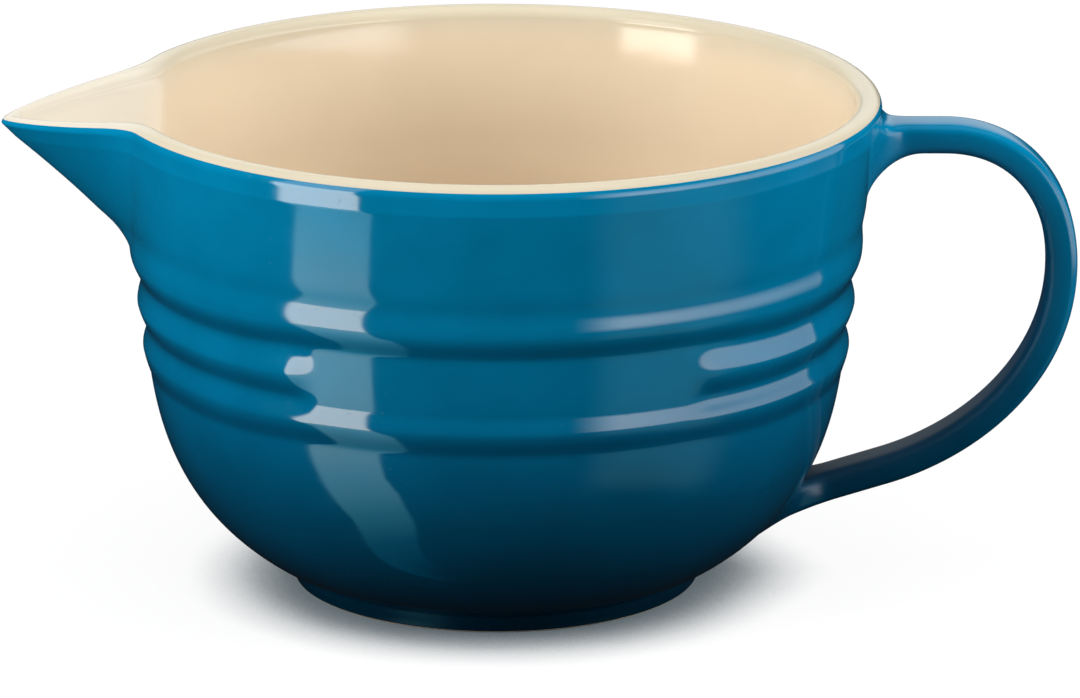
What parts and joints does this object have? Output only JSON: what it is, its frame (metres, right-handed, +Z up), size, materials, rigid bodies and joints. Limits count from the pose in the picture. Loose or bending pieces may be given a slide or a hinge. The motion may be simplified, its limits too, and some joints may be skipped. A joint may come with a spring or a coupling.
{
  "type": "batter bowl",
  "caption": "Deep round glazed stoneware mixing bowl with a V-shaped pouring spout at one side and a strap loop handle at the other, standing on a low foot ring.",
  "frame": {"origin": "centre of the foot's standing face, on the bowl's axis", "axes": "+Z up along the bowl's axis, +X towards the handle, so the spout points along -X"},
  "size_m": [0.2765, 0.197, 0.1286],
  "materials": {
    "stoneware": "fired buff stoneware clay under the glaze",
    "blue_glaze": "high gloss deep teal blue glaze, darker where it runs thick in grooves and towards the foot",
    "cream_glaze": "gloss warm cream glaze, paler on the lip"
  },
  "bodies": {
    "root": {"bowl_body": "stoneware", "foot_ring": "blue_glaze", "pouring_spout": "blue_glaze", "handle": "blue_glaze", "interior_glaze": "cream_glaze", "exterior_glaze": "blue_glaze"}
  },
  "joints": []
}
